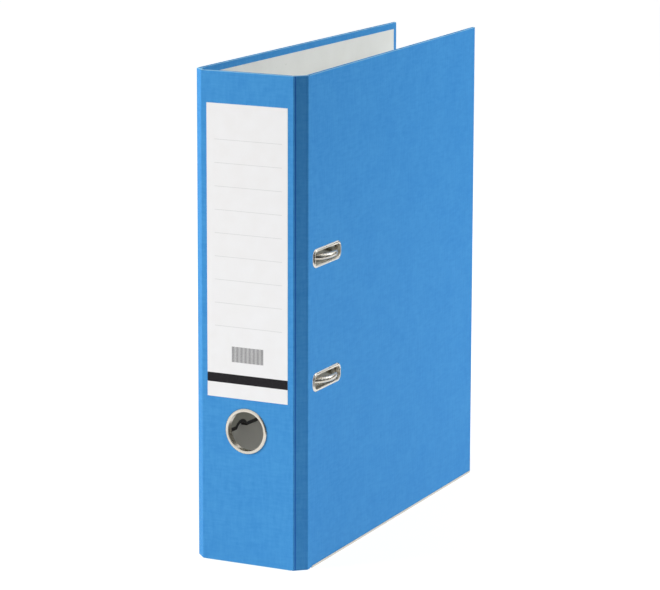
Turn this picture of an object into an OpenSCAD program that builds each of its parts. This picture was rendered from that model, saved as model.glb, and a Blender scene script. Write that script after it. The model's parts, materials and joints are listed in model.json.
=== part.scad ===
// Lever arch file for A4 sheets, closed and standing on its bottom edge.
// Frame: X across the spine (+X towards the front cover), Y from the spine to the fore edge, Z up.
// The origin is on the bottom edge of the spine, in the middle of its width and thickness.
// All lengths are in millimetres and all angles in degrees.

/* [File] */
// Height of the spine and covers
file_h = 318; // [306:1:330]
// Depth from the outside of the spine to the fore edge
file_d = 285; // [265:1:300]
// Width across the back, outside the covers
file_w = 80; // [76:1:86]
// Bevel that each hinge strip makes between spine and cover
bevel = 7; // [6:0.5:8]
// Lean of the front cover towards the back cover, in degrees
front_lean = 3.4; // [2.4:0.2:4]

/* [Boards] */
// Thickness of the grey board in each panel
board_t = 1.9; // [1.6:0.1:2.4]
// Thickness of the blue covering
wrap_t = 0.25; // [0.15:0.05:0.4]
// Thickness of the grey lining
lining_t = 0.2; // [0.1:0.05:0.3]
// Width of covering turned in over the edges of a panel
turn_in = 15; // [10:1:20]
// Width of turned-in covering that the lining leaves bare
lining_inset = 4.5; // [3:0.5:8]
// Clearance between a panel and the round edge of its hinge strip
crease_gap = 0.15; // [0.1:0.05:0.3]

/* [Spine] */
// Width of the paper label
label_w = 58; // [50:1:62]
// Height of the paper label
label_h = 189; // [150:1:195]
// Height of the label's lower edge above the floor
label_z = 108.5; // [106:0.5:115]
// Thickness of the label
label_t = 0.15; // [0.1:0.05:0.3]
// Radius of the finger hole, inside its ring
finger_r = 12.8; // [10:0.2:14]
// Height of the finger hole's middle above the floor
finger_z = 87.8; // [80:0.2:90]
// Distance of the finger hole's middle from the spine's, towards the back cover
finger_x = 1; // [0:0.5:3]
// Width of the finger ring's front flange
finger_flange = 2.2; // [1.8:0.1:3.5]
// Height of the finger ring's front flange
finger_proud = 1.1; // [0.8:0.1:1.5]

/* [Slots and edges] */
// Length of the opening in each slot eyelet
slot_l = 38.5; // [36.5:0.1:40]
// Height of the opening in each slot eyelet
slot_h = 8.4; // [6.5:0.1:9]
// Corner radius of the opening in each slot eyelet
slot_r = 2.8; // [2:0.1:3.2]
// Width of the slot eyelet's front flange
slot_flange = 2; // [1.8:0.1:3]
// Height of the slot eyelet's front flange
slot_proud = 1; // [0.7:0.1:1.3]
// Wall of the sheet-metal eyelets
eyelet_t = 0.5; // [0.4:0.1:0.7]
// Thickness of the edge rails under the covers
rail_t = 0.35; // [0.3:0.05:0.5]
// Height of the edge rails
rail_h = 1.4; // [1:0.1:3]

/* [Mechanism] */
// Height of the mechanism's middle above the floor
mech_z = 160.5; // [157:0.5:163]
// Distance between the two rings
ring_gap = 80; // [78:1:82]
// Diameter of the arch wire and of the posts
wire_d = 4; // [3.6:0.1:4.2]
// Radius of each arch, to the middle of its wire
arch_r = 21; // [20:0.5:21.5]
// Distance of the arches' middle from the middle of the spine board
arch_y = 33.5; // [33:0.5:35]
// Height by which the arches stand out of the front cover
arch_out = 5; // [4:0.2:6]
// Height of the arch axle above the lining
axle_h = 6.3; // [6.3:0.1:6.8]
// Length of the base plate
plate_l = 170; // [164:1:176]
// Sheet thickness of the base plate
plate_t = 1; // [0.8:0.1:1.2]
// Height of the base plate's top above the lining
plate_h = 4; // [3.6:0.1:4]
// Thickness of the ears that carry the lever
ear_t = 1.2; // [1:0.1:1.5]

/* [Lever] */
// Height of the lever's axle above the lining
lever_h = 26.5; // [26.5:0.1:28]
// Length of the lever from its axle to the middle of its rolled end
lever_l = 84; // [70:1:90]
// Width of the lever
lever_w = 18.2; // [17.4:0.2:18.6]
// Tilt of the closed lever towards the base plate, in degrees
lever_tilt = 10; // [8:0.5:10.5]
// Sheet thickness of the lever
lever_t = 1.2; // [1:0.1:1.5]
// Radius of the lever's axle
lever_pin_r = 1.5; // [1.2:0.1:1.8]
// Radius of the roller
roller_r = 4; // [3.4:0.1:4.4]
// Radius of the roller's pin
roller_pin_r = 1.2; // [1:0.1:1.4]

/* [Compressor] */
// Length of the compressor bar
bar_l = 116; // [104:1:130]
// Width of the compressor bar
bar_w = 13; // [12:0.5:15]
// Sheet thickness of the compressor bar
bar_t = 0.9; // [0.7:0.1:1.1]
// Clearance between the compressor bar and a post
bar_gap = 0.3; // [0.2:0.1:0.5]

/* [Hidden] */
$fn = 64;

blue = "#4690d2";
grey = "#d7d9d4";
board_grey = "#9b948a";
steel = "#b9bcbf";
dark_steel = "#8d9093";
paper = "#f1f1f0";

// Clearances
seat_gap = 0.3;
running_gap = 0.06;
fixed_gap = 0.05;
far = 1000;

// Panels: a cover frame has x outwards, y along the cover from its crease and z up
panel_t = board_t + 2 * wrap_t + lining_t;
half_t = panel_t / 2;
wrap_in = -half_t + lining_t;
board_in = wrap_in + wrap_t;
board_out = half_t - wrap_t;
strip_in = [-1, 1] / sqrt(2);
bevel_corner = [file_w / 2, bevel - half_t];
spine_crease = [file_w / 2 - bevel - half_t * tan(22.5), 0];
front_crease = cover_crease(front_lean);
back_crease = cover_crease(0);
cover_l = file_d - half_t - back_crease.y;
crease_end = half_t + crease_gap;
spine_half = spine_crease.x - crease_end;

// Where the middle planes of a hinge strip and a cover with a given lean meet
function cover_crease(lean) =
    let (cover_in = [-cos(lean), -sin(lean)])
    bevel_corner + half_t * (strip_in + cover_in) / (1 + strip_in * cover_in);

// Outside of the front cover at a distance y from the spine's middle plane
function front_x(y) = file_w / 2 - (y - bevel_corner.y) * tan(front_lean);

// Mechanism: its frame has x from the lining into the file, y as the file's and z from its middle
lining_x = -file_w / 2 + panel_t;
wire_r = wire_d / 2;
leg_y = arch_y - arch_r;
post_y = arch_y + arch_r;
arch_h = front_x(arch_y) + arch_out - wire_r - arch_r - lining_x;
ring_z = ring_gap / 2;
bend_r = 5;
tip_cone = 57;
tip_r = 0.8 * wire_r;
tip_h = tip_r / tan(tip_cone);

// Crank in the middle of the arch wire, which the lever's roller holds down
crank_r = 16;
crank_w = 14;
crank_bend = 4;
crank_rest = 10;
crank_y = leg_y + crank_r * cos(crank_rest);
crank_h = axle_h + crank_r * sin(crank_rest);

// Base plate
plate_edge = 37.5;
plate_near = leg_y - 1.5;
plate_far = post_y + plate_edge;
plate_y = (plate_near + plate_far) / 2;
plate_w = plate_far - plate_near;
plate_corner = 6;
notch_r = 8;
notch_out = 4.5;
rib_y = post_y + 16;
rib_z = 30;
rivet_y = 27;
rivet_z = plate_l / 2 - 15;
rivet_r = 1.9;
dimple_r = 5.5;
knuckle_t = 1.1;
knuckle_z = 22;
knuckle_l = 10;
spigot_r = 1.5;

// Lever
lever_y = crank_y + 0.2;
cheek_in = lever_w / 2 - lever_t;
plate_side = lever_w / 2 - 0.1;
ear_in = lever_w / 2 + seat_gap;
hub_r = 4;
ear_r = 4.5;
ear_side = ear_r - 0.15;
roller_angle = 35;
roller_h = crank_h + wire_r + seat_gap + roller_r;
short_arm = (lever_h - roller_h) / cos(roller_angle);
roller_z = short_arm * sin(roller_angle);
curl_r = 4.5;
curl_step = 0.02;

// Compressor
bar_h = plate_h + 1.8;
bar_d = 3;
bar_top = bar_h + bar_d;
catch_z = 16;
catch_w = 7;
catch_t = 0.8;
catch_pin_r = 0.8;
sleeve_r = catch_pin_r + running_gap + catch_t;
catch_h = bar_top + seat_gap + sleeve_r;
lug_t = 1;

// ---------- Shared shapes ----------

module front_frame() {
    translate([front_crease.x, front_crease.y, 0])
        rotate([0, 0, front_lean])
            children();
}

module back_frame() {
    mirror([1, 0, 0])
        translate([back_crease.x, back_crease.y, 0])
            children();
}

module mech_frame() {
    translate([lining_x, 0, mech_z])
        children();
}

// A block between two corners
module block(from, to) {
    translate(from)
        cube(to - from);
}

// Raises an outline, drawn in y and z, along x
module raise(from, height) {
    translate([from, 0, 0])
        rotate([90, 0, 90])
            linear_extrude(height)
                children();
}

// Gives an outline, drawn in x and z, a thickness along y
module thicken(from, thickness) {
    translate([0, from + thickness, 0])
        rotate([90, 0, 0])
            linear_extrude(thickness)
                children();
}

module rounded_rectangle(w, l, r) {
    square([w, l - 2 * r], center = true);
    square([w - 2 * r, l], center = true);
    for (sx = [-1, 1], sy = [-1, 1])
        translate([sx * (w / 2 - r), sy * (l / 2 - r)])
            circle(r);
}

module stadium(w, l) {
    square([w, l - w], center = true);
    for (s = [-1, 1])
        translate([0, s * (l - w) / 2])
            circle(w / 2);
}

// Radius of an arc with a given chord and height
function arc_radius(chord, h) = (chord * chord / 4 + h * h) / (2 * h);

// Section of a rolled flange, which rises from the opening's wall and curls down to the panel
module bead(w, h) {
    chord = w + eyelet_t;
    big = arc_radius(chord, h);
    intersection() {
        translate([w - chord / 2, h - big])
            circle(big);
        square([2 * w, 2 * h]);
    }
}

// Carries a section round a rounded rectangle, x outwards from the opening's edge
module sweep_round_slot(l, h, r) {
    for (k = [0 : 3]) {
        half = k % 2 == 0 ? l / 2 : h / 2;
        side = k % 2 == 0 ? h / 2 : l / 2;
        rotate([0, 0, 90 * k]) {
            translate([half, 0, 0])
                rotate([90, 0, 0])
                    linear_extrude(2 * (side - r), center = true)
                        children();
            translate([half - r, side - r, 0])
                rotate_extrude(angle = 90)
                    translate([r, 0])
                        children();
        }
    }
}

// ---------- Panels ----------

// Every panel ends squarely, just clear of the hinge strip's round edge, so the crease folds both ways
module cover_board(foot) {
    block([board_in, crease_end, foot + wrap_t], [board_out, cover_l - wrap_t, file_h - wrap_t]);
}

module cover_wrap(foot) {
    difference() {
        block([wrap_in, crease_end, foot], [half_t, cover_l, file_h]);
        block([board_in, -1, foot + wrap_t], [board_out, cover_l - wrap_t, file_h - wrap_t]);
        block([wrap_in - 1, -1, foot + turn_in], [board_in + 0.5, cover_l - turn_in, file_h - turn_in]);
    }
}

module cover_lining(foot) {
    block([-half_t, crease_end, foot + lining_inset],
          [wrap_in, cover_l - lining_inset, file_h - lining_inset]);
    block([wrap_in, crease_end, foot + turn_in],
          [board_in, cover_l - turn_in, file_h - turn_in]);
}

module cover_rail() {
    difference() {
        block([wrap_in - rail_t, 2 * panel_t, 0], [half_t + rail_t, cover_l - rail_h, rail_h]);
        block([wrap_in, 0, rail_t], [half_t, cover_l, 2 * rail_h]);
    }
}

module hinge_strip(cover_end) {
    strip_l = norm(cover_end - spine_crease);
    translate([spine_crease.x, 0, 0])
        rotate([0, 0, 45]) {
            block([0, -half_t, 0], [strip_l, half_t, file_h]);
            for (x = [0, strip_l])
                translate([x, 0, 0])
                    cylinder(r = half_t, h = file_h);
        }
}

// ---------- Spine ----------

module cut_finger_hole() {
    difference() {
        children();
        translate([-finger_x, 0, finger_z])
            rotate([90, 0, 0])
                cylinder(r = finger_r + eyelet_t + fixed_gap, h = 4 * panel_t, center = true);
    }
}

module spine_board() {
    color(board_grey)
        cut_finger_hole()
            block([-spine_half, -board_out, wrap_t], [spine_half, -board_in, file_h - wrap_t]);
}

module spine_wrap() {
    color(blue)
        cut_finger_hole()
            difference() {
                block([-spine_half, -half_t, 0], [spine_half, -wrap_in, file_h]);
                block([-far, -board_out, wrap_t], [far, -board_in, file_h - wrap_t]);
                block([-far, -board_in - 0.5, turn_in], [far, half_t, file_h - turn_in]);
            }
}

module spine_lining() {
    color(grey)
        cut_finger_hole()
            union() {
                block([-spine_half, -wrap_in, lining_inset],
                      [spine_half, half_t, file_h - lining_inset]);
                block([-spine_half, -board_in, turn_in],
                      [spine_half, -wrap_in, file_h - turn_in]);
            }
}

module spine_label() {
    color(paper)
        block([-label_w / 2, -half_t - label_t, label_z], [label_w / 2, -half_t, label_z + label_h]);
}

// Turns a section about the finger hole's axis, with y of the section out of the spine
module about_finger_hole() {
    translate([-finger_x, 0, finger_z])
        rotate([90, 0, 0])
            rotate_extrude()
                translate([finger_r, 0])
                    children();
}

module finger_ring() {
    color(steel)
        about_finger_hole() {
            translate([0, half_t])
                bead(finger_flange, finger_proud);
            translate([0, -half_t - 2 * eyelet_t])
                square([eyelet_t, panel_t + 2 * eyelet_t]);
            translate([0, -half_t - 2 * eyelet_t])
                square([3 * eyelet_t, eyelet_t]);
        }
}

module finger_ring_washer() {
    color(steel)
        about_finger_hole()
            translate([eyelet_t + fixed_gap, -half_t - eyelet_t])
                square([finger_flange - fixed_gap, eyelet_t]);
}

module front_hinge_strip() {
    color(blue)
        hinge_strip(front_crease);
}

module back_hinge_strip() {
    color(blue)
        mirror([1, 0, 0])
            hinge_strip(back_crease);
}

// ---------- Front cover ----------

// Places the children at the middle of a slot, x outwards, for the ring above (1) or below (-1)
module at_slot(side) {
    translate([0, (arch_y - front_crease.y) / cos(front_lean), mech_z + side * ring_z])
        children();
}

module cut_slots() {
    neck = eyelet_t + fixed_gap;
    difference() {
        children();
        for (side = [-1, 1])
            at_slot(side)
                raise(-2 * panel_t, 4 * panel_t)
                    rounded_rectangle(slot_l + 2 * neck, slot_h + 2 * neck, slot_r + neck);
    }
}

module front_board() {
    color(board_grey)
        front_frame()
            cut_slots()
                cover_board(rail_t);
}

module front_wrap() {
    color(blue)
        front_frame()
            cut_slots()
                cover_wrap(rail_t);
}

module front_lining() {
    color(grey)
        front_frame()
            cut_slots()
                cover_lining(rail_t);
}

module front_edge_rail() {
    color(steel)
        front_frame()
            cover_rail();
}

module slot_eyelet(side) {
    color(steel)
        front_frame()
            at_slot(side)
                rotate([90, 0, 90])
                    sweep_round_slot(slot_l, slot_h, slot_r) {
                        translate([0, half_t])
                            bead(slot_flange, slot_proud);
                        translate([0, -half_t - eyelet_t])
                            square([eyelet_t, panel_t + eyelet_t]);
                        translate([0, -half_t - eyelet_t])
                            square([3 * eyelet_t, eyelet_t]);
                    }
}

module upper_slot_eyelet() {
    slot_eyelet(1);
}

module lower_slot_eyelet() {
    slot_eyelet(-1);
}

// ---------- Back cover ----------

module at_rivets() {
    for (sy = [-1, 1], sz = [-1, 1])
        translate([0, plate_y + sy * rivet_y, sz * rivet_z])
            children();
}

module cut_rivet_holes() {
    difference() {
        children();
        mech_frame()
            at_rivets()
                rotate([0, 90, 0])
                    cylinder(r = rivet_r + fixed_gap, h = 4 * panel_t, center = true);
    }
}

module back_board() {
    color(board_grey)
        cut_rivet_holes()
            back_frame()
                cover_board(rail_t);
}

module back_wrap() {
    color(blue)
        cut_rivet_holes()
            back_frame()
                cover_wrap(rail_t);
}

module back_lining() {
    color(grey)
        cut_rivet_holes()
            back_frame()
                cover_lining(rail_t);
}

module back_edge_rail() {
    color(steel)
        back_frame()
            cover_rail();
}

module cover_rivets() {
    head_r = rivet_r + 2.4;
    head_t = 1;
    big = arc_radius(2 * head_r, head_t);
    color(steel)
        mech_frame()
            at_rivets()
                rotate([0, 90, 0])
                    rotate_extrude() {
                        translate([0, -panel_t])
                            square([rivet_r, panel_t + plate_t]);
                        translate([0, -panel_t])
                            mirror([0, 1])
                                intersection() {
                                    translate([0, head_t - big])
                                        circle(big);
                                    square([2 * head_r, 2 * head_t]);
                                }
                        translate([0, plate_t])
                            square([rivet_r + 1, 0.7]);
                    }
}

// ---------- Mechanism ----------

// The base plate's outline in y and z, drawn in by d
module plate_outline(d) {
    difference() {
        translate([plate_y, 0])
            rounded_rectangle(plate_w - 2 * d, plate_l - 2 * d, plate_corner - d);
        for (s = [-1, 1])
            translate([plate_y, s * (plate_l / 2 + notch_out)])
                circle(notch_r + d);
        translate([plate_far + 36, 0])
            circle(40 + d);
    }
}

// One of the ears that carry the lever's axle, in x and z
module ear_outline() {
    translate([lever_h, 0])
        circle(ear_r);
    polygon([[plate_h - plate_t / 2, -10], [plate_h - plate_t / 2, 10],
             [lever_h + 0.9, ear_side], [lever_h + 0.9, -ear_side]]);
}

module base_plate() {
    knuckle_r = wire_r + running_gap + knuckle_t;
    color(dark_steel)
        mech_frame()
            difference() {
                union() {
                    difference() {
                        raise(0, plate_h)
                            plate_outline(0);
                        raise(-1, plate_h - plate_t + 1)
                            plate_outline(plate_t);
                    }
                    at_rivets()
                        rotate([0, 90, 0])
                            cylinder(r = dimple_r, h = plate_h);
                    for (s = [-1, 1])
                        translate([0, rib_y, s * rib_z])
                            raise(plate_h - plate_t / 2, plate_t / 2 + 0.8)
                                stadium(6, 36);
                    for (s = [-1, 1])
                        translate([axle_h, leg_y, s * (knuckle_z + knuckle_l / 2)]) {
                            cylinder(r = knuckle_r, h = knuckle_l, center = true);
                            translate([(plate_h - plate_t / 2 - axle_h) / 2, knuckle_r / 2, 0])
                                cube([axle_h - plate_h + plate_t / 2, knuckle_r, knuckle_l], center = true);
                        }
                    for (y = [lever_y - ear_in - ear_t, lever_y + ear_in])
                        thicken(y, ear_t)
                            ear_outline();
                }
                translate([axle_h, leg_y, 0])
                    cylinder(r = wire_r + running_gap, h = 2 * ring_z, center = true);
                at_rivets() {
                    rotate([0, 90, 0])
                        translate([0, 0, plate_t])
                            cylinder(r = dimple_r - plate_t, h = plate_h);
                    rotate([0, 90, 0])
                        cylinder(r = rivet_r + fixed_gap, h = 3 * plate_t, center = true);
                }
                for (s = [-1, 1])
                    translate([0, post_y, s * ring_z])
                        rotate([0, 90, 0])
                            cylinder(r = spigot_r + fixed_gap, h = 2 * plate_h);
                translate([lever_h, lever_y, 0])
                    rotate([90, 0, 0])
                        cylinder(r = lever_pin_r + fixed_gap, h = 2 * lever_w, center = true);
            }
}

// A post, with its riveted foot below the plate and a point that centres the arch
module post(side) {
    color(steel)
        mech_frame()
            translate([0, post_y, side * ring_z])
                rotate([0, 90, 0])
                    rotate_extrude()
                        polygon([
                            [0, plate_h - plate_t - 0.6], [spigot_r + 1, plate_h - plate_t - 0.6],
                            [spigot_r + 1, plate_h - plate_t], [spigot_r, plate_h - plate_t],
                            [spigot_r, plate_h], [wire_r + 1.4, plate_h],
                            [wire_r + 1.4, plate_h + 1], [wire_r, plate_h + 1.4],
                            [wire_r, arch_h - seat_gap], [tip_r, arch_h - seat_gap],
                            [0, arch_h - seat_gap + tip_h]
                        ]);
}

module upper_post() {
    post(1);
}

module lower_post() {
    post(-1);
}

// Leaf spring under the crank, which pushes the arches open
module opening_spring() {
    leaf_t = 0.6;
    tip = crank_h - wire_r - seat_gap;
    end_y = lever_y + ear_in - seat_gap;
    color(dark_steel)
        mech_frame()
            translate([0, 0, -5])
                linear_extrude(10)
                    polygon([
                        [plate_h, end_y], [plate_h, crank_y + 5],
                        [tip - leaf_t, crank_y + 1], [tip - leaf_t, crank_y - 1.5],
                        [tip, crank_y - 1.5], [tip, crank_y + 1.4],
                        [plate_h + leaf_t, crank_y + 5.4], [plate_h + leaf_t, end_y]
                    ]);
}

module wire_arc(r, angle) {
    rotate_extrude(angle = angle)
        translate([r, 0])
            circle(wire_r);
}

// The upper (1) or lower (-1) half of the arch wire, from the arch's tip to the side of the crank
module half_arch(side) {
    axle_l = ring_z - bend_r - crank_w - crank_bend;
    translate([arch_h, arch_y, side * ring_z])
        rotate([0, 0, -90])
            wire_arc(arch_r, 180);
    translate([axle_h + bend_r, leg_y, side * ring_z])
        rotate([0, 90, 0])
            cylinder(r = wire_r, h = arch_h - axle_h - bend_r);
    translate([axle_h + bend_r, leg_y, side * (ring_z - bend_r)])
        rotate([90, 0, 0])
            rotate([0, 0, 135 - 45 * side])
                wire_arc(bend_r, 90);
    translate([axle_h, leg_y, side * (crank_w + crank_bend + axle_l / 2)])
        cylinder(r = wire_r, h = axle_l, center = true);
    turn_crank() {
        rotate([90, 0, 90]) {
            translate([crank_bend, side * (crank_w + crank_bend)])
                rotate([0, 0, 135 + 45 * side])
                    wire_arc(crank_bend, 90);
            translate([crank_r - crank_bend, side * (crank_w - crank_bend)])
                rotate([0, 0, 45 * side - 45])
                    wire_arc(crank_bend, 90);
        }
        translate([0, crank_bend, side * crank_w])
            rotate([-90, 0, 0])
                cylinder(r = wire_r, h = crank_r - 2 * crank_bend);
    }
}

// Turns a crank that stands out along y to its angle at rest
module turn_crank() {
    translate([axle_h, leg_y, 0])
        rotate([0, 0, -crank_rest])
            children();
}

module double_arch() {
    color(steel)
        mech_frame()
            difference() {
                union() {
                    for (side = [-1, 1])
                        half_arch(side);
                    turn_crank()
                        translate([0, crank_r, 0])
                            cylinder(r = wire_r, h = 2 * (crank_w - crank_bend), center = true);
                }
                for (s = [-1, 1])
                    translate([arch_h - 1, post_y, s * ring_z])
                        rotate([0, 90, 0])
                            cylinder(r1 = tip_r * (1 + 1 / tip_h), r2 = 0, h = 1 + tip_h);
            }
}

// ---------- Lever ----------

// Side view of a lever cheek, in x and z from the lever's axle
module cheek_outline() {
    circle(hub_r);
    rotate([0, 0, -roller_angle]) {
        translate([-short_arm, -2.8])
            square([short_arm, 5.6]);
        translate([-short_arm, 0])
            circle(2.8);
    }
    rotate([0, 0, lever_tilt])
        polygon([
            [0.5 - hub_r, 0], [-1.6, lever_l - curl_r],
            [hub_r - lever_t / 2, lever_l - curl_r], [hub_r - lever_t / 2, 0]
        ]);
}

// Places a cylinder in the lever's rolled end
module at_curl() {
    rotate([0, -lever_tilt, 0])
        translate([hub_r - curl_r, 0, lever_l])
            rotate([90, 0, 0])
                children();
}

module lever() {
    color(steel)
        mech_frame()
            translate([lever_h, lever_y, 0])
                difference() {
                    union() {
                        for (y = [-lever_w / 2, cheek_in])
                            thicken(y, lever_t)
                                cheek_outline();
                        rotate([0, -lever_tilt, 0])
                            block([hub_r - lever_t, -plate_side, hub_r],
                                  [hub_r, plate_side, lever_l]);
                        at_curl()
                            cylinder(r = curl_r + curl_step, h = 2 * plate_side, center = true);
                    }
                    at_curl()
                        cylinder(r = curl_r - lever_t + curl_step, h = 2 * lever_w, center = true);
                    rotate([90, 0, 0])
                        cylinder(r = lever_pin_r + running_gap, h = 2 * lever_w, center = true);
                    translate([roller_h - lever_h, 0, roller_z])
                        rotate([90, 0, 0])
                            cylinder(r = roller_pin_r + fixed_gap, h = 2 * lever_w, center = true);
                }
}

module lever_axle() {
    reach = ear_in + ear_t;
    color(dark_steel)
        mech_frame()
            translate([lever_h, lever_y, 0])
                rotate([90, 0, 0])
                    rotate_extrude()
                        polygon([
                            [0, -reach - 0.7], [lever_pin_r + 1, -reach - 0.7],
                            [lever_pin_r + 1, -reach], [lever_pin_r, -reach],
                            [lever_pin_r, reach], [lever_pin_r + 1, reach],
                            [lever_pin_r + 1, reach + 0.7], [0, reach + 0.7]
                        ]);
}

module at_roller() {
    mech_frame()
        translate([roller_h, lever_y, roller_z])
            rotate([90, 0, 0])
                children();
}

module roller() {
    color(dark_steel)
        at_roller()
            difference() {
                cylinder(r = roller_r, h = 2 * (cheek_in - seat_gap), center = true);
                cylinder(r = roller_pin_r + running_gap, h = 2 * lever_w, center = true);
            }
}

module roller_pin() {
    color(steel)
        at_roller()
            cylinder(r = roller_pin_r, h = lever_w, center = true);
}

// ---------- Compressor ----------

module compressor_bar() {
    lug_h = catch_h - bar_top;
    color(steel)
        mech_frame()
            translate([0, post_y, 0])
                difference() {
                    union() {
                        difference() {
                            raise(bar_h, bar_d)
                                rounded_rectangle(bar_w, bar_l, 5);
                            raise(bar_h - 1, bar_d - bar_t + 1)
                                rounded_rectangle(bar_w - 2 * bar_t, bar_l - 2 * bar_t, 5 - bar_t);
                        }
                        for (y = [-catch_w / 2 - seat_gap - lug_t, catch_w / 2 + seat_gap])
                            thicken(y, lug_t)
                                translate([catch_h, catch_z]) {
                                    circle(sleeve_r);
                                    translate([-lug_h - bar_t / 2, -sleeve_r])
                                        square([lug_h + bar_t / 2, 2 * sleeve_r]);
                                }
                    }
                    for (s = [-1, 1])
                        translate([0, 0, s * ring_z])
                            rotate([0, 90, 0])
                                cylinder(r = wire_r + bar_gap, h = 4 * bar_h);
                    translate([catch_h, 0, catch_z])
                        rotate([90, 0, 0])
                            cylinder(r = catch_pin_r + fixed_gap, h = 2 * bar_w, center = true);
                }
}

// Spring catch whose fork grips the upper post, with a thumb tab behind its pin
module compressor_catch() {
    tab_angle = 25;
    tab_l = 9;
    color(dark_steel)
        mech_frame()
            translate([catch_h, post_y, catch_z])
                difference() {
                    union() {
                        rotate([90, 0, 0])
                            cylinder(r = sleeve_r, h = catch_w, center = true);
                        block([-sleeve_r, -catch_w / 2, 0],
                              [catch_t - sleeve_r, catch_w / 2, ring_z - catch_z]);
                        rotate([0, -tab_angle, 0])
                            block([sleeve_r - catch_t, -catch_w / 2, -tab_l],
                                  [sleeve_r, catch_w / 2, 0]);
                    }
                    rotate([90, 0, 0])
                        cylinder(r = catch_pin_r + running_gap, h = 2 * catch_w, center = true);
                    block([-2 * sleeve_r, -wire_r - bar_gap, ring_z - catch_z - wire_r - bar_gap],
                          [2 * sleeve_r, wire_r + bar_gap, ring_z]);
                }
}

module catch_pin() {
    color(steel)
        mech_frame()
            translate([catch_h, post_y, catch_z])
                rotate([90, 0, 0])
                    cylinder(r = catch_pin_r, h = catch_w + 2 * (seat_gap + lug_t), center = true);
}

spine_board();
spine_wrap();
spine_lining();
spine_label();
finger_ring();
finger_ring_washer();
front_hinge_strip();
back_hinge_strip();
front_board();
front_wrap();
front_lining();
front_edge_rail();
upper_slot_eyelet();
lower_slot_eyelet();
back_board();
back_wrap();
back_lining();
back_edge_rail();
base_plate();
cover_rivets();
upper_post();
lower_post();
opening_spring();
double_arch();
lever();
lever_axle();
roller();
roller_pin();
compressor_bar();
compressor_catch();
catch_pin();
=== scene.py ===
import json
import math

import bmesh
import bpy
from mathutils import Matrix, Vector
from mathutils.bvhtree import BVHTree


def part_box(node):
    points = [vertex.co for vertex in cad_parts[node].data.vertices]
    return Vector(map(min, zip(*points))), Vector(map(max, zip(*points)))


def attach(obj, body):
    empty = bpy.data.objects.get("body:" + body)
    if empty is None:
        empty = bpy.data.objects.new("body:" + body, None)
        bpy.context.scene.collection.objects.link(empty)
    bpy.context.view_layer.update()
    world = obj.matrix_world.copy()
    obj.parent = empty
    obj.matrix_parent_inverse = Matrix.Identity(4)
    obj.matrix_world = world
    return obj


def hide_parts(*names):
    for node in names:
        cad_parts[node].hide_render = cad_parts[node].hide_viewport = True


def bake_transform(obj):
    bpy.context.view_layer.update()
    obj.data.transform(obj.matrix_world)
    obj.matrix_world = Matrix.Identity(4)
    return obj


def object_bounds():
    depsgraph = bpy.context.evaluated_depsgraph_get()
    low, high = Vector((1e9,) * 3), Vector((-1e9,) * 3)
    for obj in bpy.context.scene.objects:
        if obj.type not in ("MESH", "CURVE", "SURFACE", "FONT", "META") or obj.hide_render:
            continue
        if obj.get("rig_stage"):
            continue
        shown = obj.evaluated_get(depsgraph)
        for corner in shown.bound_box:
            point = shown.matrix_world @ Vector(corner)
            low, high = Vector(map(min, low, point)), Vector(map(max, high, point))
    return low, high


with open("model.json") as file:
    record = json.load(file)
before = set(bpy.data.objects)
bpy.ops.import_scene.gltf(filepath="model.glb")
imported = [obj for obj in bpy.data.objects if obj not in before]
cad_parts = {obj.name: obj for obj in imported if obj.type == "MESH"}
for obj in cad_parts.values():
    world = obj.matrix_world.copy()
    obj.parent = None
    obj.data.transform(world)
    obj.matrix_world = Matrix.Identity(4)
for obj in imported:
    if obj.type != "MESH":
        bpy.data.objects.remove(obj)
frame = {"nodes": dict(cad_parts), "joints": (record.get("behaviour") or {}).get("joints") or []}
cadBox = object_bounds()
nodes = frame["nodes"]
joints = {joint["name"]: joint for joint in frame["joints"]}
up = Vector((0, 0, 1))
mm = 0.001

# Image points, x to the right and y down in the picture's frame
imageW = 660
imageH = 590
imageL = max(imageW, imageH)
imagePoints = {
    "objectLeft": (197.6, None),
    "objectRight": (474.8, None),
    "objectTop": (None, 20.7),
    "objectBottom": (None, 572.2),
    "spineTopLeft": (202.5, 68.5),
    "spineTopRight": (292.3, 76.6),
    "spineBottomLeft": (202.8, 558.0),
    "spineBottomRight": (293.5, 572.0),
    "coverFarTop": (474.6, 28.2),
    "coverFarBottom": (470.3, 471.7),
    "labelTopLeft": (206.6, 101.8),
    "labelBottomRight": (287.3, 404.9),
    "fingerRing": (245.4, 431.2),
    "upperSlot": (326.1, 253.4),
    "lowerSlot": (326.1, 377.0),
    "firstRuleLeft": (214.3, 138.8),
    "firstRuleRight": (282.0, 144.6),
    "lastRuleLeft": (214.3, 324.9),
    "barMiddle": (247.7, 380.8),
    "hatchMiddle": (247.8, 356.0),
}

camera = {
    "lens": 185.0,
    "sensorWidth": 36.0,
    "azimuth": 27.53,  # from in front of the spine towards the front cover
    "elevation": 11.37,
    "roll": 0.16,
    "distance": 2.251,
    "target": (0.0, 0.1187, 0.159),
    "aside": -0.0032,  # how far right of the target the camera aims
    "above": -0.0036,
    "shiftX": 0.0,
    "shiftY": 0.0,
    "seesTo": 100.0,
}


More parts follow.
